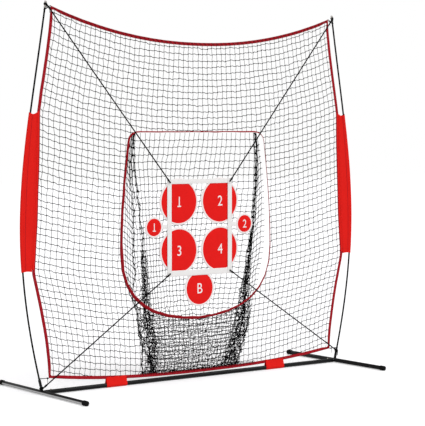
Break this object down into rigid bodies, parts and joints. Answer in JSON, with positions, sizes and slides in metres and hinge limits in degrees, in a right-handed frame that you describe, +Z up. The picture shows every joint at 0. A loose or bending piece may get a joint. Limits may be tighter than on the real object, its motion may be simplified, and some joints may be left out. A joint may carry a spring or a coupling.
{
  "type": "pitching target net",
  "caption": "Free-standing net on a tube base with bowed side rods, a ball pocket behind its opening and a strike-zone target hung on elastic cords.",
  "frame": {"origin": "on the floor, below the middle of the net", "axes": "+X along the net's width, +Y back from the thrower's side through the net, +Z up"},
  "size_m": [2.504, 0.9666, 2.263],
  "materials": {
    "zinc_plated_steel": "bright zinc plate",
    "black_coated_steel": "satin black powder coat",
    "black_fibreglass": "pultruded, satin",
    "aluminium": "drawn, satin",
    "black_rubber": "moulded, matt",
    "nickel_plated_brass": "nickel plated",
    "spring_steel": "bright wire",
    "black_knotted_netting": "knotted polyester twine",
    "red_border_webbing": "folded binding tape, stitched",
    "red_sleeve_cloth": "coated woven polyester",
    "black_elastic_cord": "braided cover on rubber core",
    "white_webbing": "woven webbing",
    "red_padded_vinyl": "coated cloth over thin foam, white bound edge"
  },
  "bodies": {
    "stand": {"bar_strap_left": "red_sleeve_cloth", "bar_strap_right": "red_sleeve_cloth", "border_tape_bottom": "red_border_webbing", "border_tape_left": "red_border_webbing", "border_tape_right": "red_border_webbing", "border_tape_top": "red_border_webbing", "bungee_bottom_left": "black_elastic_cord", "bungee_bottom_right": "black_elastic_cord", "bungee_top_left": "black_elastic_cord", "bungee_top_right": "black_elastic_cord", "corner_loop_bottom_left": "black_elastic_cord", "corner_loop_bottom_right": "black_elastic_cord", "corner_loop_top_left": "black_elastic_cord", "corner_loop_top_right": "black_elastic_cord", "crossbar_left": "black_coated_steel", "crossbar_right": "black_coated_steel", "crossbar_spigot_left": "zinc_plated_steel", "crossbar_spigot_right": "zinc_plated_steel", "crossbar_splice": "zinc_plated_steel", "foot_cap_left_back": "black_rubber", "foot_cap_left_front": "black_rubber", "foot_cap_right_back": "black_rubber", "foot_cap_right_front": "black_rubber", "foot_tube_left": "zinc_plated_steel", "foot_tube_right": "zinc_plated_steel", "front_net": "black_knotted_netting", "opening_rim": "red_border_webbing", "pocket_net": "black_knotted_netting", "pole_ferrule_left": "aluminium", "pole_ferrule_right": "aluminium", "pole_rod_lower_left": "black_fibreglass", "pole_rod_lower_right": "black_fibreglass", "pole_rod_upper_left": "black_fibreglass", "pole_rod_upper_right": "black_fibreglass", "pole_sleeve_left": "red_sleeve_cloth", "pole_sleeve_right": "red_sleeve_cloth", "pole_socket_left": "black_coated_steel", "pole_socket_right": "black_coated_steel", "pole_tip_left": "aluminium", "pole_tip_right": "aluminium", "snap_spring_centre": "spring_steel", "snap_spring_left": "spring_steel", "snap_spring_right": "spring_steel"},
    "strike_zone": {"zone_web_left": "white_webbing", "zone_web_right": "white_webbing", "zone_web_top": "white_webbing", "zone_web_bottom": "white_webbing", "target_disc_top_left": "red_padded_vinyl", "target_disc_top_right": "red_padded_vinyl", "target_disc_bottom_left": "red_padded_vinyl", "target_disc_bottom_right": "red_padded_vinyl"},
    "low_target": {"low_target_disc": "red_padded_vinyl"},
    "side_target_left": {"side_target_strap_left": "white_webbing", "side_target_disc_left": "red_padded_vinyl"},
    "side_target_right": {"side_target_strap_right": "white_webbing", "side_target_disc_right": "red_padded_vinyl"},
    "button_left": {"snap_button_left": "nickel_plated_brass"},
    "button_right": {"snap_button_right": "nickel_plated_brass"},
    "button_centre": {"snap_button_centre": "nickel_plated_brass"}
  },
  "joints": [
    {"name": "strike_zone_give", "type": "slide", "parent": "stand", "child": "strike_zone", "axis": [0, 1, 0], "range_m": [-0.05, 0.05], "stiffness_N_per_m": 160, "deforming": ["bungee_top_left", "bungee_top_right", "bungee_bottom_left", "bungee_bottom_right"]},
    {"name": "low_target_swing", "type": "hinge", "parent": "strike_zone", "child": "low_target", "pos_m": [0, -0.0192, 0.665], "axis": [1, 0, 0], "range_deg": [0, 30]},
    {"name": "side_target_left_swing", "type": "hinge", "parent": "strike_zone", "child": "side_target_left", "pos_m": [-0.2453, -0.0207, 0.94], "axis": [0, 0, -1], "range_deg": [-25, 20], "stiffness_Nm_per_rad": 0.05},
    {"name": "side_target_right_swing", "type": "hinge", "parent": "strike_zone", "child": "side_target_right", "pos_m": [0.2453, -0.0207, 0.94], "axis": [0, 0, 1], "range_deg": [-25, 20], "stiffness_Nm_per_rad": 0.05},
    {"name": "button_left_press", "type": "slide", "parent": "stand", "child": "button_left", "axis": [0, 0, -1], "range_m": [0, 0.0052], "stiffness_N_per_m": 400, "deforming": ["snap_spring_left"]},
    {"name": "button_right_press", "type": "slide", "parent": "stand", "child": "button_right", "axis": [0, 0, -1], "range_m": [0, 0.0052], "stiffness_N_per_m": 400, "deforming": ["snap_spring_right"]},
    {"name": "button_centre_press", "type": "slide", "parent": "stand", "child": "button_centre", "axis": [0, 0, -1], "range_m": [0, 0.0052], "stiffness_N_per_m": 400, "deforming": ["snap_spring_centre"]}
  ]
}
